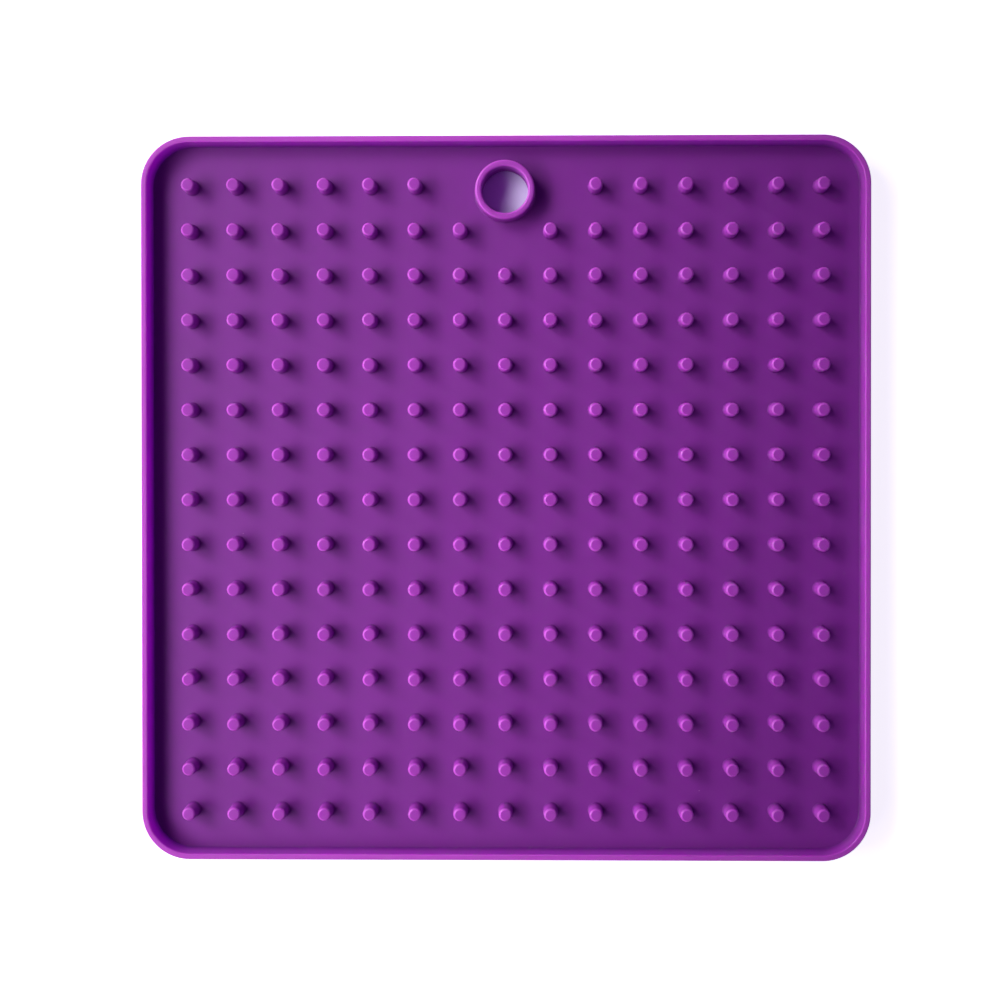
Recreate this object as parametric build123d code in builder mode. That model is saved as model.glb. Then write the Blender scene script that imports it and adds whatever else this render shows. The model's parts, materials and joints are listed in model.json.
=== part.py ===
from build123d import *
import os
from math import hypot, radians, tan

# Square silicone lick mat: a thin floor carrying a grid of blunt pegs, a raised rim all the way round
# and a short collar near one edge to hang the mat up by.
# The real mat is a single moulding. Here it is divided along its own features.
# Its soft edges are drawn as bevels, and its round pegs as many-sided prisms, because there are so many.
# Millimetres and degrees, +Z up, +Y towards the hanging eyelet, origin under the middle of the mat.

# Outline of the whole mat
mat_width = 200.0
mat_length = 198.7
corner_radius = 13.2

# Floor of the tray
floor_thickness = 2.2

# Rim, in section: a soft lip over an upright outer wall and a drafted inner one
rim_height = 4.8
lip_width = 1.6
lip_bevel = 0.35
wall_draft = 4.0
underside_bevel = 0.6

# Pegs: blunt cones on an even grid
peg_columns = 15
peg_rows = 15
side_margin = 12.85
first_row_margin = 13.23
last_row_margin = 12.47
peg_height = 4.8
peg_root_diameter = 4.08
peg_draft = 2.0
peg_tip_bevel = 0.45
peg_sides = 10

# Hanging eyelet: a collar through the floor round a plain hole, with the pegs kept clear of it
eyelet_inset = 14.75
eyelet_bore_diameter = 12.7
eyelet_height = 4.8
eyelet_wall = 1.85
eyelet_bevel = 0.3
eyelet_peg_gap = 4.0

# Sizes that follow from the ones above
lip_level = floor_thickness + rim_height
foot_inset = lip_width + rim_height * tan(radians(wall_draft))

peg_pitch_x = (mat_width - 2 * side_margin) / (peg_columns - 1)
peg_pitch_y = (mat_length - first_row_margin - last_row_margin) / (peg_rows - 1)
first_column_x = side_margin - mat_width / 2
first_row_y = mat_length / 2 - first_row_margin
peg_root_radius = peg_root_diameter / 2

eyelet_y = mat_length / 2 - eyelet_inset
eyelet_level = floor_thickness + eyelet_height
bore_radius = eyelet_bore_diameter / 2
collar_radius = bore_radius + eyelet_wall
peg_free_radius = collar_radius + eyelet_peg_gap + peg_root_radius

os.makedirs("parts", exist_ok=True)


def outline(inset):
    """The mat's rounded outline, brought in evenly by the inset, in the sketch that is open."""
    RectangleRounded(mat_width - 2 * inset, mat_length - 2 * inset, corner_radius - inset)


def peg_places(row):
    """Axes of the pegs in one row, left to right. Pegs that would crowd the eyelet are left out."""
    y = first_row_y - row * peg_pitch_y
    columns = [first_column_x + column * peg_pitch_x for column in range(peg_columns)]
    return [(x, y) for x in columns if hypot(x, y - eyelet_y) > peg_free_radius]


# Rim: one section, drawn at the right-hand edge and carried round the outline
with BuildPart() as rim:
    with BuildSketch(mode=Mode.PRIVATE) as plan:
        outline(0)
    with BuildSketch(Plane.XZ) as section:
        with BuildLine():
            Polyline(
                (mat_width / 2, 0),
                (mat_width / 2, lip_level),
                (mat_width / 2 - lip_width, lip_level),
                (mat_width / 2 - foot_inset, floor_thickness),
                (mat_width / 2 - foot_inset, 0),
                close=True,
            )
        make_face()
        chamfer(section.vertices().group_by(Axis.Y)[-1], lip_bevel)
        underside_corner = section.vertices().group_by(Axis.Y)[0].sort_by(Axis.X)[-1]
        chamfer(underside_corner, underside_bevel)
    sweep(path=plan.wire())
rim.part.label = "rim"
export_step(rim.part, "parts/rim.step")

# Floor sheet: fills the rim at its foot, with a round hole for the eyelet
with BuildPart() as floor_sheet:
    with BuildSketch():
        outline(foot_inset)
        with Locations((0, eyelet_y)):
            Circle(collar_radius, mode=Mode.SUBTRACT)
    extrude(amount=floor_thickness)
floor_sheet.part.label = "floor_sheet"
export_step(floor_sheet.part, "parts/floor_sheet.step")

# Hanging eyelet: a straight collar from the underside up to the level of its soft-edged top
with BuildPart() as hanging_eyelet:
    with BuildSketch():
        with Locations((0, eyelet_y)):
            Circle(collar_radius)
            Circle(bore_radius, mode=Mode.SUBTRACT)
    extrude(amount=eyelet_level)
    chamfer(hanging_eyelet.edges().group_by(Axis.Z)[-1], eyelet_bevel)
hanging_eyelet.part.label = "hanging_eyelet"
export_step(hanging_eyelet.part, "parts/hanging_eyelet.step")

# One peg, standing on the floor over the origin, for the rows to repeat
with BuildPart() as peg:
    with BuildSketch(Plane.XY.offset(floor_thickness)):
        RegularPolygon(peg_root_radius, peg_sides)
    extrude(amount=peg_height, taper=peg_draft)
    chamfer(peg.edges().group_by(Axis.Z)[-1], peg_tip_bevel)

# Peg rows, counted from the eyelet's edge of the mat
for row in range(peg_rows):
    with BuildPart() as peg_row:
        with Locations(*peg_places(row)):
            add(peg.part)
    peg_row.part.label = f"peg_row_{row + 1:02d}"
    export_step(peg_row.part, f"parts/{peg_row.part.label}.step")
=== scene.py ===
import json
import math

import bmesh
import bpy
from bpy.props import FloatProperty, FloatVectorProperty, IntProperty, PointerProperty
from bpy.types import Operator, Panel, PropertyGroup
from mathutils import Euler, Matrix, Vector


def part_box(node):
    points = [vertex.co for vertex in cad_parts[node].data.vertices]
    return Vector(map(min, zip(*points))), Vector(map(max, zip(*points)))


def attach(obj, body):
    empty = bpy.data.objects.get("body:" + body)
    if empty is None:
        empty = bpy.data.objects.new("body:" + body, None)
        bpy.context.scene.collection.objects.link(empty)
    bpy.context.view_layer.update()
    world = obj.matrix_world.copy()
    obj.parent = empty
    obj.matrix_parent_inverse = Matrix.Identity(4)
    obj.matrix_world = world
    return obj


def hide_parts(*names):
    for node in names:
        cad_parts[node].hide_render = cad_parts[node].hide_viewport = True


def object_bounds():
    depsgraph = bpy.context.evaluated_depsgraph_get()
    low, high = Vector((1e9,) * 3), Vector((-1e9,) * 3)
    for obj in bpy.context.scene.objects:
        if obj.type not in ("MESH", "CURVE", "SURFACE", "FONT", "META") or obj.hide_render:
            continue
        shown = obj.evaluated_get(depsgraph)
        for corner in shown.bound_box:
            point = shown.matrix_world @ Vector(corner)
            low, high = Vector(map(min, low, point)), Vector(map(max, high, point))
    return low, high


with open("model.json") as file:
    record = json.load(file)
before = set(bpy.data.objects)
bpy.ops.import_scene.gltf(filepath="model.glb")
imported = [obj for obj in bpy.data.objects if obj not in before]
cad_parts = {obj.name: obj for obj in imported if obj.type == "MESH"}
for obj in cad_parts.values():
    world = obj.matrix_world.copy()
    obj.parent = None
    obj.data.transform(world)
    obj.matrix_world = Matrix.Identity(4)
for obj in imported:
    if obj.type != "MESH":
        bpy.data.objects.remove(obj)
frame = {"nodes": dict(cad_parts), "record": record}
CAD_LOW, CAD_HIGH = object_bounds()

bl_info = {
    "name": "Silicone Lick Mat",
    "version": (1, 0, 0),
    "blender": (4, 5, 0),
    "location": "View3D > Sidebar > Lick Mat",
    "description": "Moulds the tray, eyelet and pegs of a lick mat round its CAD frame",
    "category": "Mesh",
}

MILLIMETRE = 0.001
WHITE = (1.0, 1.0, 1.0, 1.0)

# What the CAD frame says of the mat, in metres
RIM_LOW, RIM_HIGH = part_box("rim")
FLOOR_LOW, FLOOR_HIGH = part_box("floor_sheet")
EYELET_LOW, EYELET_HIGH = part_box("hanging_eyelet")
PEG_ROWS = sorted(name for name in frame["nodes"] if name.startswith("peg_row_"))
FIRST_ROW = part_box(PEG_ROWS[0])
LAST_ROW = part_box(PEG_ROWS[-1])
HANGING_HOLE = next(m for m in frame["record"]["mounts"] if m["name"] == "hanging_hole")
# A peg's root, measured to the corners of its CAD prism
PEG_ROOT_RADIUS = 2.04 * MILLIMETRE

# Faces across a softened edge, round a corner of the mat and round the eyelet
EDGE_STEPS = 5
CORNER_STEPS = 20
EYELET_STEPS = 72

# Points nearer than this are joined, and a piece may stray past the CAD box by the second
JOIN_DISTANCE = 1e-7
BOX_TOLERANCE = 1e-5
# Faces that point more nearly straight up or down than this are level, and are shaded flat
LEVEL_NORMAL = 0.9999
# How deep a peg's root is sunk in the floor, as a share of its cove
ROOT_SINK_SHARE = 0.4

# Where the rim's wall starts and is full in the material, in lip widths from the outline
RIM_START = -1.6
RIM_FULL = -1.25
# The lip's colour runs down the wall for so many radii of the lip's edges
LIP_FADE = 2.5
# The eyelet has this share of the lip's colour, and it fades over this distance from the collar
EYELET_SHARE = 0.4
EYELET_FADE = 0.5 * MILLIMETRE
# How far up the normal points where the painted highlight on a soft edge starts and is full, and where a
# top starts and is level
EDGE_HIGHLIGHT_NORMALS = (0.25, 0.6)
TOP_NORMALS = (0.93, 0.99)
# Waves to the metre and detail of each noise, and the range that noise mostly keeps to
CLOUDS = (28.0, 4.0)
SHEEN_PATCHES = (90.0, 3.0)
MOULD_GRAIN = (2400.0, 2.0)
NOISE_RANGE = (0.3, 0.7)
SHEEN_DRIFT = 0.05
GRAIN_STRENGTH = 0.5
# Dust: cells to the metre, a speck's inner and outer radius in cells, the draw that earns one, its cover
DUST_CELLS = 260.0
DUST_RADII = (0.025, 0.05)
DUST_DRAW = 0.965
DUST_COVER = 0.5
# Refractive index of silicone, and how far red, green and blue go in, as shares of the depth
SILICONE_IOR = 1.41
DEPTH_BY_COLOUR = (1.0, 0.04, 1.2)

# Table top: from its middle to its sides, its gap under the mat, and its colour, a pale white with a
# lavender tint that is painted purple light bounced from the mat
TABLE_REACH = 4.0
TABLE_GAP = 0.05 * MILLIMETRE
TABLE_COLOUR_WITH_BOUNCE_TINT = (0.76, 0.7, 0.95, 1.0)
# Its white glow at the mat's outline and what is added away from it, with the distances it grows over
NEAR_GLOW = 0.85
NEAR_GLOW_RANGE = (-0.006, 0.0)
FAR_GLOW = 0.15
FAR_GLOW_RANGE = (0.004, 0.06)
# How far up a direction points where the room's white walls start to darken and where they end
WALL_TOPS = (0.3, 0.6)
# The camera's frame in millimetres, and the nearest that it sees in metres
FRAME_WIDTH = 36.0
NEAR_CLIP = 0.01


class LickMatTray(PropertyGroup):
    """Sizes of the floor and the rim round it"""

    width: FloatProperty(
        name="Width",
        description="Across the mat, outside the rim",
        default=RIM_HIGH.x - RIM_LOW.x,
        min=0.05,
        unit="LENGTH",
    )
    length: FloatProperty(
        name="Length",
        description="From the eyelet's edge to the far edge, outside the rim",
        default=RIM_HIGH.y - RIM_LOW.y,
        min=0.05,
        unit="LENGTH",
    )
    corner_radius: FloatProperty(
        name="Corner Radius",
        description="Of the outline's corners",
        default=13.2 * MILLIMETRE,
        unit="LENGTH",
    )
    floor_level: FloatProperty(
        name="Floor Level",
        description="Top of the floor above the underside",
        default=FLOOR_HIGH.z,
        unit="LENGTH",
    )
    lip_level: FloatProperty(
        name="Lip Level",
        description="Top of the rim above the underside",
        default=RIM_HIGH.z,
        unit="LENGTH",
    )
    lip_width: FloatProperty(
        name="Lip Width",
        description="Across the top of the rim, over its soft edges",
        default=1.6 * MILLIMETRE,
        unit="LENGTH",
    )
    wall_draft: FloatProperty(
        name="Wall Draft",
        description="Lean of the rim's inner wall from upright",
        default=math.radians(4.0),
        unit="ROTATION",
    )
    lip_softness: FloatProperty(
        name="Lip Softness",
        description="Radius of the lip's edges",
        default=0.36 * MILLIMETRE,
        unit="LENGTH",
    )
    foot_cove: FloatProperty(
        name="Foot Cove",
        description="Radius where the inner wall runs out into the floor",
        default=0.2 * MILLIMETRE,
        unit="LENGTH",
    )
    underside_softness: FloatProperty(
        name="Underside Softness",
        description="Radius of the underside's outer edge",
        default=0.7 * MILLIMETRE,
        unit="LENGTH",
    )


class LickMatEyelet(PropertyGroup):
    """Sizes of the collar round the hanging hole"""

    place_y: FloatProperty(
        name="Place",
        description="Of the hole's axis, along the mat from its middle",
        default=HANGING_HOLE["pos_m"][1],
        unit="LENGTH",
    )
    bore_radius: FloatProperty(
        name="Bore Radius",
        description="Of the hanging hole",
        default=HANGING_HOLE["dims"]["r_mm"] * MILLIMETRE,
        unit="LENGTH",
    )
    collar_radius: FloatProperty(
        name="Collar Radius",
        description="Of the collar's outer wall",
        default=(EYELET_HIGH.x - EYELET_LOW.x) / 2,
        unit="LENGTH",
    )
    top_level: FloatProperty(
        name="Top Level",
        description="Top of the collar above the underside",
        default=EYELET_HIGH.z,
        unit="LENGTH",
    )
    top_softness: FloatProperty(
        name="Top Softness",
        description="Radius of the collar's top edges",
        default=0.65 * MILLIMETRE,
        unit="LENGTH",
    )
    foot_cove: FloatProperty(
        name="Foot Cove",
        description="Radius where the collar runs out into the floor",
        default=0.4 * MILLIMETRE,
        unit="LENGTH",
    )
    underside_softness: FloatProperty(
        name="Underside Softness",
        description="Radius of the hole's edge underneath",
        default=0.3 * MILLIMETRE,
        unit="LENGTH",
    )


class LickMatPegs(PropertyGroup):
    """Sizes of one peg and of the grid that repeats it"""

    columns: IntProperty(
        name="Columns",
        description="Pegs across a full row",
        default=15,
        min=2,
    )
    rows: IntProperty(
        name="Rows",
        description="Rows of pegs, counted from the eyelet's edge",
        default=len(PEG_ROWS),
        min=2,
    )
    span_x: FloatProperty(
        name="Span Across",
        description="From the axes of the first column to those of the last",
        default=LAST_ROW[1].x - LAST_ROW[0].x - 2 * PEG_ROOT_RADIUS,
        unit="LENGTH",
    )
    span_y: FloatProperty(
        name="Span Along",
        description="From the axes of the first row to those of the last",
        default=FIRST_ROW[0].y - LAST_ROW[0].y,
        unit="LENGTH",
    )
    middle: FloatVectorProperty(
        name="Middle",
        description="Middle of the grid, on the floor",
        default=(
            (LAST_ROW[0].x + LAST_ROW[1].x) / 2,
            (FIRST_ROW[1].y + LAST_ROW[0].y) / 2,
            FLOOR_HIGH.z,
        ),
        subtype="XYZ",
        unit="LENGTH",
    )
    height: FloatProperty(
        name="Height",
        description="Of a peg above the floor",
        default=LAST_ROW[1].z - FLOOR_HIGH.z,
        unit="LENGTH",
    )
    root_radius: FloatProperty(
        name="Root Radius",
        description="Of a peg where it leaves the floor",
        default=PEG_ROOT_RADIUS,
        unit="LENGTH",
    )
    draft: FloatProperty(
        name="Draft",
        description="Lean of a peg's side from upright",
        default=math.radians(2.0),
        unit="ROTATION",
    )
    tip_softness: FloatProperty(
        name="Tip Softness",
        description="Radius of the tip's edge",
        default=0.55 * MILLIMETRE,
        unit="LENGTH",
    )
    root_cove: FloatProperty(
        name="Root Cove",
        description="How far the root spreads into the floor",
        default=0.25 * MILLIMETRE,
        unit="LENGTH",
    )
    sides: IntProperty(
        name="Sides",
        description="Faces round one peg",
        default=14,
        min=8,
        max=16,
    )
    clear_radius: FloatProperty(
        name="Clear Radius",
        description="No peg stands nearer to the eyelet's axis than this",
        default=14.24 * MILLIMETRE,
        unit="LENGTH",
    )


class LickMatSilicone(PropertyGroup):
    """Colour and finish of the silicone"""

    low_colour: FloatVectorProperty(
        name="Low Colour",
        description="On the floor and at the feet of the walls",
        default=(0.215, 0.0215, 0.285),
        size=3,
        min=0.0,
        max=1.0,
        subtype="COLOR",
    )
    # Paler than the low colour; the walls and pegs turn to it with height
    tip_colour: FloatVectorProperty(
        name="Tip Colour",
        description="On the tips, which are rubbed paler",
        default=(0.39, 0.055, 0.46),
        size=3,
        min=0.0,
        max=1.0,
        subtype="COLOR",
    )
    # Palest colour, on the lip and in part on the eyelet
    lip_colour: FloatVectorProperty(
        name="Lip Colour",
        description="On the rim's lip and the eyelet, which are rubbed most",
        default=(0.515, 0.085, 0.565),
        size=3,
        min=0.0,
        max=1.0,
        subtype="COLOR",
    )
    # Painted highlight: a paler colour on the soft edges of the tops, standing in for light that catches
    # them and gets through from the side
    edge_highlight_colour: FloatVectorProperty(
        name="Edge Colour",
        description="On the soft edges of the tops, where light gets through from the side",
        default=(0.54, 0.09, 0.6),
        size=3,
        min=0.0,
        max=1.0,
        subtype="COLOR",
    )
    dust_colour: FloatVectorProperty(
        name="Dust Colour",
        description="Of the few specks of dust that cling to it",
        default=(0.56, 0.26, 0.62),
        size=3,
        min=0.0,
        max=1.0,
        subtype="COLOR",
    )
    pale_share: FloatProperty(
        name="Pale Share",
        description="How far up the walls and pegs the colour has turned from low to tip",
        default=0.65,
        min=0.0,
        max=1.0,
        subtype="FACTOR",
    )
    cloudiness: FloatProperty(
        name="Cloudiness",
        description="How much the colour drifts over a few centimetres",
        default=0.03,
        min=0.0,
        max=1.0,
        subtype="FACTOR",
    )
    floor_roughness: FloatProperty(
        name="Floor Roughness",
        description="Of the sand-blasted floor",
        default=0.58,
        min=0.0,
        max=1.0,
        subtype="FACTOR",
    )
    top_roughness: FloatProperty(
        name="Top Roughness",
        description="Of the smoother lip, eyelet and tips",
        default=0.38,
        min=0.0,
        max=1.0,
        subtype="FACTOR",
    )
    sheen: FloatProperty(
        name="Sheen",
        description="Strength of the dull shine",
        default=0.5,
        min=0.0,
        max=1.0,
        subtype="FACTOR",
    )
    bulk_depth: FloatProperty(
        name="Bulk Depth",
        description="How deep light goes in where the silicone is thick",
        default=3.0 * MILLIMETRE,
        unit="LENGTH",
    )
    bulk_glow: FloatProperty(
        name="Bulk Glow",
        description="Share of the light that goes in where the silicone is thick",
        default=0.3,
        min=0.0,
        max=1.0,
        subtype="FACTOR",
    )
    wall_glow: FloatProperty(
        name="Wall Glow",
        description="Share of the light that goes into the rim's thin wall",
        default=0.6,
        min=0.0,
        max=1.0,
        subtype="FACTOR",
    )
    wall_depth: FloatProperty(
        name="Wall Depth",
        description="How deep light goes into the rim's thin wall, which it shines through",
        default=8.0 * MILLIMETRE,
        unit="LENGTH",
    )
    grain_depth: FloatProperty(
        name="Grain Depth",
        description="Of the fine grain that the mould leaves",
        default=0.02 * MILLIMETRE,
        unit="LENGTH",
    )


class LickMatStage(PropertyGroup):
    """Light, floor and camera"""

    upper_power: FloatProperty(
        name="Upper Power",
        description="Of the soft lamp at the upper left",
        default=0.128,
        unit="POWER",
    )
    middle_power: FloatProperty(
        name="Middle Power",
        description="Of the soft lamp straight at the left",
        default=0.112,
        unit="POWER",
    )
    lower_power: FloatProperty(
        name="Lower Power",
        description="Of the soft lamp at the lower left",
        default=0.0505,
        unit="POWER",
    )
    softbox_width: FloatProperty(
        name="Softbox Width",
        description="Of each lamp, level",
        default=0.32,
        unit="LENGTH",
    )
    softbox_height: FloatProperty(
        name="Softbox Height",
        description="Of each lamp, upright",
        default=0.185,
        unit="LENGTH",
    )
    softbox_spread: FloatProperty(
        name="Softbox Spread",
        description="Full angle that each lamp shines over",
        default=math.radians(38.5),
        unit="ROTATION",
    )
    upper_aim: FloatVectorProperty(
        name="Upper Aim",
        description="Point that the upper lamp shines at",
        default=(-0.011, -0.004, 0.0),
        subtype="XYZ",
        unit="LENGTH",
    )
    middle_aim: FloatVectorProperty(
        name="Middle Aim",
        description="Point that the middle lamp shines at",
        default=(-0.031, 0.008, 0.0),
        subtype="XYZ",
        unit="LENGTH",
    )
    lower_aim: FloatVectorProperty(
        name="Lower Aim",
        description="Point that the lower lamp shines at",
        default=(-0.057, -0.021, 0.0),
        subtype="XYZ",
        unit="LENGTH",
    )
    lamp_distance: FloatProperty(
        name="Lamp Distance",
        description="Of the lamps from the middle of the mat",
        default=0.326,
        unit="LENGTH",
    )
    lamp_height: FloatProperty(
        name="Lamp Height",
        description="Angle of the lamps above the floor",
        default=math.radians(33.8),
        unit="ROTATION",
    )
    lamp_bearing: FloatProperty(
        name="Lamp Bearing",
        description="Angle of the outer two lamps from the one straight at the left",
        default=math.radians(31.0),
        unit="ROTATION",
    )
    room_light: FloatVectorProperty(
        name="Room Light",
        description="Faint even light from all round, which the mat has tinted",
        default=(0.088, 0.018, 0.142),
        size=3,
        min=0.0,
        max=1.0,
        subtype="COLOR",
    )
    camera_place: FloatVectorProperty(
        name="Camera Place",
        description="Where the camera stands",
        default=(0.01099, 0.01597, 0.337),
        subtype="XYZ",
        unit="LENGTH",
    )
    camera_turn: FloatVectorProperty(
        name="Camera Turn",
        description="How far the camera is turned from looking straight down",
        default=(math.radians(-0.307), math.radians(0.624), math.radians(-0.032)),
        subtype="EULER",
        unit="ROTATION",
    )
    camera_lens: FloatProperty(
        name="Camera Lens",
        description="Focal length on a 36 mm frame, in millimetres",
        default=43.41,
    )
    camera_shift: FloatVectorProperty(
        name="Camera Shift",
        description="How far the picture is off the lens's axis, as a share of its side",
        default=(-0.032, -0.0534),
        size=2,
    )


class LickMatSettings(PropertyGroup):
    """All that a user may change"""

    tray: PointerProperty(type=LickMatTray)
    eyelet: PointerProperty(type=LickMatEyelet)
    pegs: PointerProperty(type=LickMatPegs)
    silicone: PointerProperty(type=LickMatSilicone)
    stage: PointerProperty(type=LickMatStage)


def softened(corners):
    """Carry a section through its corners, each rounded by an arc of its own radius."""
    points = []
    for index, (across, up, radius) in enumerate(corners):
        corner = Vector((across, up))
        if radius == 0.0:
            points.append(corner)
            continue
        to_last = (Vector(corners[index - 1][:2]) - corner).normalized()
        to_next = (Vector(corners[(index + 1) % len(corners)][:2]) - corner).normalized()
        half_angle = to_last.angle(to_next) / 2
        centre = corner + (to_last + to_next).normalized() * (radius / math.sin(half_angle))
        first = corner + to_last * (radius / math.tan(half_angle)) - centre
        last = corner + to_next * (radius / math.tan(half_angle)) - centre
        turn = first.angle_signed(last)
        for step in range(EDGE_STEPS + 1):
            points.append(centre + Matrix.Rotation(-turn * step / EDGE_STEPS, 2) @ first)
    return points


def bridge(mesh, first_ring, second_ring):
    """Join two rings that have the same number of points by a band of faces."""
    count = len(first_ring)
    for index in range(count):
        after = (index + 1) % count
        mesh.faces.new((first_ring[index], first_ring[after], second_ring[after], second_ring[index]))


def ring_edges(mesh, ring):
    """The edges along a ring that a band already runs up to."""
    return [mesh.edges.get((ring[index - 1], ring[index])) for index in range(len(ring))]


def finish_piece(name, mesh, material, replaced_nodes):
    """Close a piece's mesh, hang it on the CAD body and check that it keeps to the CAD box."""
    bmesh.ops.remove_doubles(mesh, verts=mesh.verts, dist=JOIN_DISTANCE)
    bmesh.ops.recalc_face_normals(mesh, faces=mesh.faces)
    if any(not edge.is_manifold for edge in mesh.edges):
        raise RuntimeError(f"{name} isn't closed")
    for face in mesh.faces:
        face.smooth = abs(face.normal.z) < LEVEL_NORMAL
    data = bpy.data.meshes.new(name)
    mesh.to_mesh(data)
    mesh.free()
    data.materials.clear()
    data.materials.append(material)
    piece = bpy.data.objects.new(name, data)
    bpy.context.scene.collection.objects.link(piece)
    for vertex in data.vertices:
        for low, value, high in zip(CAD_LOW, vertex.co, CAD_HIGH):
            if not low - BOX_TOLERANCE <= value <= high + BOX_TOLERANCE:
                raise RuntimeError(f"{name} leaves the CAD box")
    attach(piece, "root")
    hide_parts(*replaced_nodes)
    return piece


def outline_stations(tray):
    """Arc centres and outward directions round the mat's outline, corner after corner."""
    reach_x = tray.width / 2 - tray.corner_radius
    reach_y = tray.length / 2 - tray.corner_radius
    stations = []
    for quarter, (side_x, side_y) in enumerate(((1, 1), (-1, 1), (-1, -1), (1, -1))):
        for step in range(CORNER_STEPS + 1):
            angle = (quarter + step / CORNER_STEPS) * math.pi / 2
            outward = Vector((math.cos(angle), math.sin(angle)))
            stations.append((Vector((side_x * reach_x, side_y * reach_y)), outward))
    return stations


def eyelet_ring(mesh, eyelet, radius, level):
    """A ring of points round the hanging hole."""
    ring = []
    for step in range(EYELET_STEPS):
        angle = 2 * math.pi * step / EYELET_STEPS
        x = radius * math.cos(angle)
        y = eyelet.place_y + radius * math.sin(angle)
        ring.append(mesh.verts.new((x, y, level)))
    return ring


def mould_tray(tray, eyelet):
    """Carry the rim's section round the outline, then close the floor and the underside."""
    foot_inset = tray.lip_width + (tray.lip_level - tray.floor_level) * math.tan(tray.wall_draft)
    inside = foot_inset + tray.corner_radius / 2
    section = softened(
        (
            (inside, 0.0, 0.0),
            (0.0, 0.0, tray.underside_softness),
            (0.0, tray.lip_level, tray.lip_softness),
            (tray.lip_width, tray.lip_level, tray.lip_softness),
            (foot_inset, tray.floor_level, tray.foot_cove),
            (inside, tray.floor_level, 0.0),
        )
    )[1:-1]
    stations = outline_stations(tray)
    mesh = bmesh.new()
    rings = []
    for inset, level in section:
        ring = []
        for centre, outward in stations:
            point = centre + outward * (tray.corner_radius - inset)
            ring.append(mesh.verts.new((point.x, point.y, level)))
        rings.append(ring)
    for first_ring, second_ring in zip(rings, rings[1:]):
        bridge(mesh, first_ring, second_ring)
    hole_foot = eyelet_ring(mesh, eyelet, eyelet.collar_radius, 0.0)
    hole_top = eyelet_ring(mesh, eyelet, eyelet.collar_radius, tray.floor_level)
    bridge(mesh, hole_foot, hole_top)
    for edge_ring, hole_ring in ((rings[0], hole_foot), (rings[-1], hole_top)):
        edges = ring_edges(mesh, edge_ring) + ring_edges(mesh, hole_ring)
        bmesh.ops.triangle_fill(mesh, use_beauty=True, edges=edges, normal=(0.0, 0.0, 1.0))
    return mesh


def mould_eyelet(tray, eyelet):
    """Turn the collar's section about the axis of the hanging hole."""
    flare = eyelet.collar_radius + eyelet.foot_cove
    section = softened(
        (
            (eyelet.bore_radius, 0.0, eyelet.underside_softness),
            (eyelet.bore_radius, eyelet.top_level, eyelet.top_softness),
            (eyelet.collar_radius, eyelet.top_level, eyelet.top_softness),
            (eyelet.collar_radius, tray.floor_level, eyelet.foot_cove),
            (flare, tray.floor_level, 0.0),
            (eyelet.collar_radius, 0.0, 0.0),
        )
    )
    mesh = bmesh.new()
    rings = [eyelet_ring(mesh, eyelet, radius, level) for radius, level in section]
    for index, ring in enumerate(rings):
        bridge(mesh, rings[index - 1], ring)
    return mesh


def new_node(tree, kind, **settings):
    """Add a node and set its options."""
    node = tree.nodes.new(kind)
    for name, value in settings.items():
        setattr(node, name, value)
    return node


def feed(tree, socket, value):
    """Give a node's input a link or a plain value."""
    if isinstance(value, bpy.types.NodeSocket):
        tree.links.new(value, socket)
    else:
        socket.default_value = value


def calculate(tree, operation, first, second=0.0):
    """One step of arithmetic in a node tree."""
    node = new_node(tree, "ShaderNodeMath", operation=operation)
    feed(tree, node.inputs[0], first)
    feed(tree, node.inputs[1], second)
    return node.outputs[0]


def product(tree, first, *others):
    """Several values multiplied together."""
    for other in others:
        first = calculate(tree, "MULTIPLY", first, other)
    return first


def separated(tree, vector):
    """The X, Y and Z of a vector."""
    node = new_node(tree, "ShaderNodeSeparateXYZ")
    feed(tree, node.inputs[0], vector)
    return node.outputs


def by_index(tree, index, values):
    """Pick one of several values by a point's place in its row."""
    node = new_node(tree, "GeometryNodeIndexSwitch", data_type="FLOAT")
    while len(node.index_switch_items) < len(values):
        node.index_switch_items.new()
    feed(tree, node.inputs[0], index)
    for socket, value in zip(node.inputs[1:], values):
        feed(tree, socket, value)
    return node.outputs[0]


PEG_TREE_INPUTS = (
    ("Columns", "NodeSocketInt"),
    ("Rows", "NodeSocketInt"),
    ("Span Across", "NodeSocketFloat"),
    ("Span Along", "NodeSocketFloat"),
    ("Middle", "NodeSocketVector"),
    ("Height", "NodeSocketFloat"),
    ("Root Radius", "NodeSocketFloat"),
    ("Draft", "NodeSocketFloat"),
    ("Tip Softness", "NodeSocketFloat"),
    ("Root Cove", "NodeSocketFloat"),
    ("Sides", "NodeSocketInt"),
    ("Eyelet Axis", "NodeSocketVector"),
    ("Clear Radius", "NodeSocketFloat"),
    ("Silicone", "NodeSocketMaterial"),
)


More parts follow.
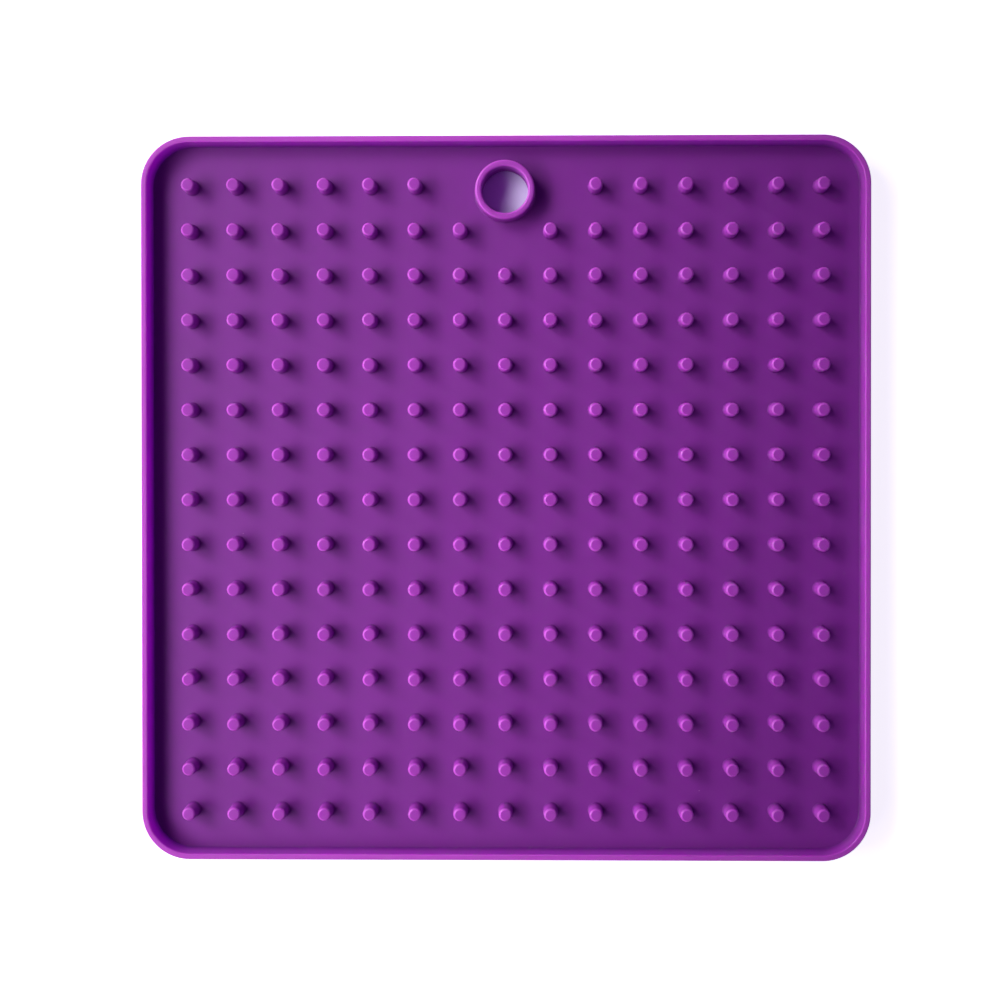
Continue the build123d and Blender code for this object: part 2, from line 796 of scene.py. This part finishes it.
def one_peg(tree, inputs):
    """A round spine of five points, swept into a peg with a spread root and a soft tip."""
    slope = calculate(tree, "TANGENT", inputs["Draft"])
    shoulder = calculate(tree, "SUBTRACT", inputs["Height"], inputs["Tip Softness"])
    narrowing = calculate(tree, "MULTIPLY", shoulder, slope)
    shoulder_radius = calculate(tree, "SUBTRACT", inputs["Root Radius"], narrowing)
    # An eighth of a turn along the tip's edge moves this share of its radius
    eighth = calculate(tree, "MULTIPLY", inputs["Tip Softness"], 1 - math.sqrt(0.5))
    levels = (
        calculate(tree, "MULTIPLY", inputs["Root Cove"], -ROOT_SINK_SHARE),
        inputs["Root Cove"],
        shoulder,
        calculate(tree, "SUBTRACT", inputs["Height"], eighth),
        inputs["Height"],
    )
    radii = (
        calculate(tree, "ADD", inputs["Root Radius"], inputs["Root Cove"]),
        inputs["Root Radius"],
        shoulder_radius,
        calculate(tree, "SUBTRACT", shoulder_radius, eighth),
        calculate(tree, "SUBTRACT", shoulder_radius, inputs["Tip Softness"]),
    )
    index = new_node(tree, "GeometryNodeInputIndex").outputs[0]
    line = new_node(tree, "GeometryNodeCurvePrimitiveLine")
    spine = new_node(tree, "GeometryNodeResampleCurve")
    feed(tree, spine.inputs["Curve"], line.outputs[0])
    feed(tree, spine.inputs["Count"], len(levels))
    place = new_node(tree, "ShaderNodeCombineXYZ")
    feed(tree, place.inputs["Z"], by_index(tree, index, levels))
    raised = new_node(tree, "GeometryNodeSetPosition")
    feed(tree, raised.inputs["Geometry"], spine.outputs[0])
    feed(tree, raised.inputs["Position"], place.outputs[0])
    circle = new_node(tree, "GeometryNodeCurvePrimitiveCircle")
    feed(tree, circle.inputs["Resolution"], inputs["Sides"])
    feed(tree, circle.inputs["Radius"], 1.0)
    swept = new_node(tree, "GeometryNodeCurveToMesh")
    feed(tree, swept.inputs["Curve"], raised.outputs[0])
    feed(tree, swept.inputs["Profile Curve"], circle.outputs[0])
    feed(tree, swept.inputs["Scale"], by_index(tree, index, radii))
    feed(tree, swept.inputs["Fill Caps"], True)
    return swept.outputs[0]


def peg_tree():
    """Geometry nodes that stand a peg on each point of a grid, except round the eyelet."""
    tree = bpy.data.node_groups.new("peg_grid", "GeometryNodeTree")
    tree.is_modifier = True
    for name, kind in PEG_TREE_INPUTS:
        tree.interface.new_socket(name=name, in_out="INPUT", socket_type=kind)
    tree.interface.new_socket(name="Pegs", in_out="OUTPUT", socket_type="NodeSocketGeometry")
    inputs = new_node(tree, "NodeGroupInput").outputs
    grid = new_node(tree, "GeometryNodeMeshGrid")
    feed(tree, grid.inputs["Size X"], inputs["Span Across"])
    feed(tree, grid.inputs["Size Y"], inputs["Span Along"])
    feed(tree, grid.inputs["Vertices X"], inputs["Columns"])
    feed(tree, grid.inputs["Vertices Y"], inputs["Rows"])
    placed = new_node(tree, "GeometryNodeTransform")
    feed(tree, placed.inputs["Geometry"], grid.outputs["Mesh"])
    feed(tree, placed.inputs["Translation"], inputs["Middle"])
    position = new_node(tree, "GeometryNodeInputPosition").outputs[0]
    distance = new_node(tree, "ShaderNodeVectorMath", operation="DISTANCE")
    feed(tree, distance.inputs[0], position)
    feed(tree, distance.inputs[1], inputs["Eyelet Axis"])
    crowds = calculate(tree, "LESS_THAN", distance.outputs["Value"], inputs["Clear Radius"])
    thinned = new_node(tree, "GeometryNodeDeleteGeometry", domain="POINT")
    feed(tree, thinned.inputs["Geometry"], placed.outputs[0])
    feed(tree, thinned.inputs["Selection"], crowds)
    planted = new_node(tree, "GeometryNodeInstanceOnPoints")
    feed(tree, planted.inputs["Points"], thinned.outputs[0])
    feed(tree, planted.inputs["Instance"], one_peg(tree, inputs))
    realized = new_node(tree, "GeometryNodeRealizeInstances")
    feed(tree, realized.inputs["Geometry"], planted.outputs[0])
    coated = new_node(tree, "GeometryNodeSetMaterial")
    feed(tree, coated.inputs["Geometry"], realized.outputs[0])
    feed(tree, coated.inputs["Material"], inputs["Silicone"])
    feed(tree, new_node(tree, "NodeGroupOutput").inputs[0], coated.outputs[0])
    return tree


def mould_pegs(pegs, eyelet, material):
    """Run the peg tree once and keep its result as a plain mesh."""
    values = {
        "Columns": pegs.columns,
        "Rows": pegs.rows,
        "Span Across": pegs.span_x,
        "Span Along": pegs.span_y,
        "Middle": tuple(pegs.middle),
        "Height": pegs.height,
        "Root Radius": pegs.root_radius,
        "Draft": pegs.draft,
        "Tip Softness": pegs.tip_softness,
        "Root Cove": pegs.root_cove,
        "Sides": pegs.sides,
        "Eyelet Axis": (0.0, eyelet.place_y, pegs.middle[2]),
        "Clear Radius": pegs.clear_radius,
        "Silicone": material,
    }
    tree = peg_tree()
    bed = bpy.data.objects.new("peg_bed", bpy.data.meshes.new("peg_bed"))
    bpy.context.scene.collection.objects.link(bed)
    modifier = bed.modifiers.new("pegs", "NODES")
    modifier.node_group = tree
    for item in tree.interface.items_tree:
        if item.in_out == "INPUT":
            modifier[item.identifier] = values[item.name]
    grown = bed.evaluated_get(bpy.context.evaluated_depsgraph_get())
    data = bpy.data.meshes.new_from_object(grown)
    mesh = bmesh.new()
    mesh.from_mesh(data)
    bed.modifiers.clear()
    bpy.data.objects.remove(bed)
    bpy.data.meshes.remove(data)
    if not mesh.faces:
        raise RuntimeError("the peg tree gave no pegs")
    return mesh


def mapped(tree, value, from_low, from_high, to_low, to_high, smooth=False):
    """Carry a value from one range over to another."""
    kind = "SMOOTHSTEP" if smooth else "LINEAR"
    node = new_node(tree, "ShaderNodeMapRange", interpolation_type=kind)
    for name, number in (
        ("From Min", from_low),
        ("From Max", from_high),
        ("To Min", to_low),
        ("To Max", to_high),
    ):
        feed(tree, node.inputs[name], number)
    feed(tree, node.inputs["Value"], value)
    return node.outputs["Result"]


def noise(tree, place, scale, detail):
    """Even noise at so many waves to the metre."""
    node = new_node(tree, "ShaderNodeTexNoise")
    feed(tree, node.inputs["Vector"], place)
    feed(tree, node.inputs["Scale"], scale)
    feed(tree, node.inputs["Detail"], detail)
    return node.outputs["Fac"]


def blended(tree, share, first, second, kind="MIX"):
    """Mix two colours."""
    node = new_node(tree, "ShaderNodeMix", data_type="RGBA", blend_type=kind)
    feed(tree, node.inputs[0], share)
    feed(tree, node.inputs[6], first)
    feed(tree, node.inputs[7], second)
    return node.outputs[2]


def outline_distance(tree, place, tray):
    """Distance outside the mat's rounded outline, seen from above; negative inside it."""
    folded = new_node(tree, "ShaderNodeVectorMath", operation="ABSOLUTE")
    feed(tree, folded.inputs[0], place)
    from_corner = new_node(tree, "ShaderNodeVectorMath", operation="SUBTRACT")
    feed(tree, from_corner.inputs[0], folded.outputs[0])
    corner = (tray.width / 2 - tray.corner_radius, tray.length / 2 - tray.corner_radius, 0.0)
    feed(tree, from_corner.inputs[1], corner)
    axes = separated(tree, from_corner.outputs[0])
    square_x = calculate(tree, "POWER", calculate(tree, "MAXIMUM", axes["X"], 0.0), 2.0)
    square_y = calculate(tree, "POWER", calculate(tree, "MAXIMUM", axes["Y"], 0.0), 2.0)
    reach = calculate(tree, "SQRT", calculate(tree, "ADD", square_x, square_y))
    nearer_side = calculate(tree, "MAXIMUM", axes["X"], axes["Y"])
    inner = calculate(tree, "MINIMUM", nearer_side, 0.0)
    return calculate(tree, "SUBTRACT", calculate(tree, "ADD", reach, inner), tray.corner_radius)


def hole_distance(tree, place, eyelet):
    """Distance outside the eyelet's collar, seen from above; negative inside it."""
    flat = new_node(tree, "ShaderNodeVectorMath", operation="MULTIPLY")
    feed(tree, flat.inputs[0], place)
    feed(tree, flat.inputs[1], (1.0, 1.0, 0.0))
    reach = new_node(tree, "ShaderNodeVectorMath", operation="DISTANCE")
    feed(tree, reach.inputs[0], flat.outputs["Vector"])
    feed(tree, reach.inputs[1], (0.0, eyelet.place_y, 0.0))
    return calculate(tree, "SUBTRACT", reach.outputs["Value"], eyelet.collar_radius)


def toned_colour(tree, place, height, rim, raised, settings):
    """Paler with height and palest on the lip and the eyelet, with a painted highlight on the soft edges
    of the tops.
    """
    look = settings.silicone
    tray = settings.tray
    ring = mapped(tree, hole_distance(tree, place, settings.eyelet), 0.0, EYELET_FADE, 1.0, 0.0)
    edging = calculate(tree, "MAXIMUM", rim, product(tree, ring, EYELET_SHARE))
    fade_level = tray.lip_level - LIP_FADE * tray.lip_softness
    upper = mapped(tree, height, fade_level, tray.lip_level, 0.0, 1.0)
    # Share of the palest colour: full at the top of the rim, in part on the eyelet, fading down the wall
    toned = product(tree, edging, upper)
    top = blended(tree, toned, (*look.tip_colour, 1.0), (*look.lip_colour, 1.0))
    colour = blended(tree, raised, (*look.low_colour, 1.0), top)
    # Painted highlight: where the normal turns over the soft edges of the tops, the colour goes to the
    # edge colour, standing in for light catching them
    upright = separated(tree, new_node(tree, "ShaderNodeTexCoord").outputs["Normal"])["Z"]
    turning = mapped(tree, upright, *EDGE_HIGHLIGHT_NORMALS, 0.0, 1.0)
    not_level = mapped(tree, upright, *TOP_NORMALS, 1.0, 0.0)
    highlit_edge = product(tree, turning, not_level, raised)
    return blended(tree, highlit_edge, colour, (*look.edge_highlight_colour, 1.0))


def clouded_colour(tree, place, colour, look):
    """A colour that drifts over centimetres and is flecked with dust."""
    drift = (1.0 - look.cloudiness, 1.0 + look.cloudiness)
    shade = mapped(tree, noise(tree, place, *CLOUDS), *NOISE_RANGE, *drift)
    shade_colour = new_node(tree, "ShaderNodeCombineColor")
    for socket in shade_colour.inputs:
        feed(tree, socket, shade)
    colour = blended(tree, 1.0, colour, shade_colour.outputs[0], "MULTIPLY")
    specks = new_node(tree, "ShaderNodeTexVoronoi")
    feed(tree, specks.inputs["Vector"], place)
    feed(tree, specks.inputs["Scale"], DUST_CELLS)
    draw = new_node(tree, "ShaderNodeSeparateColor")
    feed(tree, draw.inputs[0], specks.outputs["Color"])
    near = mapped(tree, specks.outputs["Distance"], *DUST_RADII, 1.0, 0.0)
    chosen = calculate(tree, "GREATER_THAN", draw.outputs[0], DUST_DRAW)
    dust = product(tree, near, chosen, DUST_COVER)
    return blended(tree, dust, colour, (*look.dust_colour, 1.0))


def mould_grain(tree, place, depth):
    """The fine grain that the mould leaves, as a bump."""
    grain = new_node(tree, "ShaderNodeBump")
    feed(tree, grain.inputs["Strength"], GRAIN_STRENGTH)
    feed(tree, grain.inputs["Distance"], depth)
    feed(tree, grain.inputs["Height"], noise(tree, place, *MOULD_GRAIN))
    return grain.outputs["Normal"]


def silicone_material(settings):
    """Matte moulded silicone: paler with height and palest on the lip and eyelet, with a painted
    highlight on the soft edges of the tops, a little cloudy, with a fine mould grain.
    """
    name = "matte_silicone"
    if name in bpy.data.materials:
        return bpy.data.materials[name]
    look = settings.silicone
    tray = settings.tray
    material = bpy.data.materials.new(name)
    material.use_nodes = True
    tree = material.node_tree
    shader = tree.nodes["Principled BSDF"]
    place = new_node(tree, "ShaderNodeTexCoord").outputs["Object"]
    height = separated(tree, place)["Z"]
    beyond = outline_distance(tree, place, tray)
    rim = mapped(tree, beyond, RIM_START * tray.lip_width, RIM_FULL * tray.lip_width, 0.0, 1.0)
    pale_level = tray.floor_level + look.pale_share * (tray.lip_level - tray.floor_level)
    raised = mapped(tree, height, tray.floor_level, pale_level, 0.0, 1.0, smooth=True)
    colour = toned_colour(tree, place, height, rim, raised, settings)
    feed(tree, shader.inputs["Base Color"], clouded_colour(tree, place, colour, look))
    # Finish: blasted floor, smoother tops, faint drifts of sheen
    finish = mapped(tree, raised, 0.0, 1.0, look.floor_roughness, look.top_roughness)
    patches = noise(tree, place, *SHEEN_PATCHES)
    drift = mapped(tree, patches, *NOISE_RANGE, -SHEEN_DRIFT, SHEEN_DRIFT)
    feed(tree, shader.inputs["Roughness"], calculate(tree, "ADD", finish, drift))
    feed(tree, shader.inputs["Normal"], mould_grain(tree, place, look.grain_depth))
    shader.inputs["IOR"].default_value = SILICONE_IOR
    shader.inputs["Specular IOR Level"].default_value = look.sheen
    # A share of the light goes a little way in, and right through the rim's wall below its lip
    below_lip = mapped(tree, height, tray.lip_level - tray.lip_softness / 2, tray.lip_level, 1.0, 0.0)
    thin = product(tree, rim, below_lip)
    glow = mapped(tree, thin, 0.0, 1.0, look.bulk_glow, look.wall_glow)
    depth = mapped(tree, thin, 0.0, 1.0, look.bulk_depth, look.wall_depth)
    feed(tree, shader.inputs["Subsurface Weight"], glow)
    feed(tree, shader.inputs["Subsurface Scale"], depth)
    shader.inputs["Subsurface Radius"].default_value = DEPTH_BY_COLOUR
    return material


def background_ray(tree):
    """1 for the rays that show the background: the camera's own, reflections and what is seen through."""
    path = new_node(tree, "ShaderNodeLightPath").outputs
    seen = calculate(tree, "MAXIMUM", path["Is Camera Ray"], path["Is Glossy Ray"])
    return calculate(tree, "MAXIMUM", seen, path["Is Transmission Ray"])


def floor_material(tray):
    """Pale table top that fades to plain white away from the mat and keeps the mat's shadow."""
    material = bpy.data.materials.new("pale_table")
    material.use_nodes = True
    tree = material.node_tree
    tree.nodes.clear()
    beyond = outline_distance(tree, new_node(tree, "ShaderNodeTexCoord").outputs["Object"], tray)
    near_glow = mapped(tree, beyond, *NEAR_GLOW_RANGE, 0.0, NEAR_GLOW)
    far_glow = mapped(tree, beyond, *FAR_GLOW_RANGE, 0.0, FAR_GLOW, smooth=True)
    glow = calculate(tree, "ADD", near_glow, far_glow)
    matte = new_node(tree, "ShaderNodeBsdfDiffuse")
    # The lavender tint of this colour is painted purple bounce light from the mat
    feed(tree, matte.inputs["Color"], TABLE_COLOUR_WITH_BOUNCE_TINT)
    white = new_node(tree, "ShaderNodeEmission")
    feed(tree, white.inputs["Strength"], product(tree, glow, background_ray(tree)))
    both = new_node(tree, "ShaderNodeAddShader")
    feed(tree, both.inputs[0], matte.outputs[0])
    feed(tree, both.inputs[1], white.outputs[0])
    feed(tree, new_node(tree, "ShaderNodeOutputMaterial").inputs["Surface"], both.outputs[0])
    return material


def lay_floor(tray):
    """A wide table top just under the mat."""
    mesh = bmesh.new()
    bmesh.ops.create_grid(mesh, x_segments=1, y_segments=1, size=TABLE_REACH)
    for vertex in mesh.verts:
        vertex.co.z = -TABLE_GAP
    data = bpy.data.meshes.new("table_top")
    mesh.to_mesh(data)
    mesh.free()
    data.materials.append(floor_material(tray))
    table = bpy.data.objects.new("table_top", data)
    bpy.context.scene.collection.objects.link(table)


def hang_lamp(name, power, bearing, aim, stage):
    """A lamp on the arc at the left, turned to face its aim."""
    turn = Euler((0.0, stage.lamp_height, -bearing))
    place = turn.to_matrix() @ Vector((-stage.lamp_distance, 0.0, 0.0))
    lamp = bpy.data.lights.new(name, "AREA")
    lamp.shape = "RECTANGLE"
    lamp.size = stage.softbox_width
    lamp.size_y = stage.softbox_height
    lamp.energy = power
    lamp.spread = stage.softbox_spread
    fitting = bpy.data.objects.new(name, lamp)
    fitting.location = place
    fitting.rotation_euler = (Vector(aim) - place).to_track_quat("-Z", "Y").to_euler()
    fitting.visible_camera = False
    bpy.context.scene.collection.objects.link(fitting)


def hang_light(stage):
    """Three softboxes in an arc at the left, in a dim room with white walls and a dark ceiling."""
    hang_lamp("upper_softbox", stage.upper_power, stage.lamp_bearing, stage.upper_aim, stage)
    hang_lamp("middle_softbox", stage.middle_power, 0.0, stage.middle_aim, stage)
    hang_lamp("lower_softbox", stage.lower_power, -stage.lamp_bearing, stage.lower_aim, stage)
    world = bpy.data.worlds.new("white_room")
    world.use_nodes = True
    tree = world.node_tree
    room = tree.nodes["Background"]
    upward = separated(tree, new_node(tree, "ShaderNodeTexCoord").outputs["Generated"])["Z"]
    walls = mapped(tree, upward, *WALL_TOPS, 1.0, 0.0, smooth=True)
    white = product(tree, background_ray(tree), walls)
    feed(tree, room.inputs["Color"], blended(tree, white, (*stage.room_light, 1.0), WHITE))
    bpy.context.scene.world = world


def set_camera(stage):
    """The camera looks almost straight down, a little off the middle of the mat."""
    lens = bpy.data.cameras.new("camera")
    lens.sensor_width = FRAME_WIDTH
    lens.lens = stage.camera_lens
    lens.shift_x, lens.shift_y = stage.camera_shift
    lens.clip_start = NEAR_CLIP
    camera = bpy.data.objects.new("camera", lens)
    camera.location = stage.camera_place
    camera.rotation_euler = stage.camera_turn
    bpy.context.scene.collection.objects.link(camera)
    bpy.context.scene.camera = camera


class LICKMAT_OT_tray(Operator):
    """Mould the floor and the rim as one tray"""

    bl_idname = "lick_mat.tray"
    bl_label = "Tray"

    def execute(self, context):
        settings = context.scene.lick_mat
        mesh = mould_tray(settings.tray, settings.eyelet)
        finish_piece("tray", mesh, silicone_material(settings), ("floor_sheet", "rim"))
        return {"FINISHED"}


class LICKMAT_OT_eyelet(Operator):
    """Mould the collar round the hanging hole"""

    bl_idname = "lick_mat.eyelet"
    bl_label = "Eyelet"

    def execute(self, context):
        settings = context.scene.lick_mat
        mesh = mould_eyelet(settings.tray, settings.eyelet)
        finish_piece("eyelet", mesh, silicone_material(settings), ("hanging_eyelet",))
        return {"FINISHED"}


class LICKMAT_OT_pegs(Operator):
    """Stand the pegs on the floor"""

    bl_idname = "lick_mat.pegs"
    bl_label = "Pegs"

    def execute(self, context):
        settings = context.scene.lick_mat
        material = silicone_material(settings)
        mesh = mould_pegs(settings.pegs, settings.eyelet, material)
        finish_piece("pegs", mesh, material, PEG_ROWS)
        return {"FINISHED"}


class LICKMAT_OT_stage(Operator):
    """Lay the floor, hang the light and set the camera"""

    bl_idname = "lick_mat.stage"
    bl_label = "Stage"

    def execute(self, context):
        settings = context.scene.lick_mat
        lay_floor(settings.tray)
        hang_light(settings.stage)
        set_camera(settings.stage)
        context.scene.view_settings.view_transform = "Standard"
        return {"FINISHED"}


class LICKMAT_PT_sidebar(Panel):
    """Lists the mat's sizes and the steps that build it"""

    bl_idname = "LICKMAT_PT_sidebar"
    bl_label = "Lick Mat"
    bl_space_type = "VIEW_3D"
    bl_region_type = "UI"
    bl_category = "Lick Mat"

    def draw(self, context):
        settings = context.scene.lick_mat
        for operator, group in (
            (LICKMAT_OT_tray, settings.tray),
            (LICKMAT_OT_eyelet, settings.eyelet),
            (LICKMAT_OT_pegs, settings.pegs),
            (None, settings.silicone),
            (LICKMAT_OT_stage, settings.stage),
        ):
            box = self.layout.box()
            if operator is None:
                box.label(text="Silicone")
            else:
                box.operator(operator.bl_idname)
            for name in group.__annotations__:
                box.prop(group, name)


CLASSES = (
    LickMatTray,
    LickMatEyelet,
    LickMatPegs,
    LickMatSilicone,
    LickMatStage,
    LickMatSettings,
    LICKMAT_OT_tray,
    LICKMAT_OT_eyelet,
    LICKMAT_OT_pegs,
    LICKMAT_OT_stage,
    LICKMAT_PT_sidebar,
)


def register():
    """Add the mat's settings, steps and panel to Blender."""
    for entry in CLASSES:
        bpy.utils.register_class(entry)
    bpy.types.Scene.lick_mat = PointerProperty(type=LickMatSettings)


def unregister():
    """Take them away again."""
    del bpy.types.Scene.lick_mat
    for entry in reversed(CLASSES):
        bpy.utils.unregister_class(entry)


def main():
    """Build the mat and its stage."""
    register()
    bpy.ops.lick_mat.tray()
    bpy.ops.lick_mat.eyelet()
    bpy.ops.lick_mat.pegs()
    bpy.ops.lick_mat.stage()


if __name__ == "__main__":
    main()
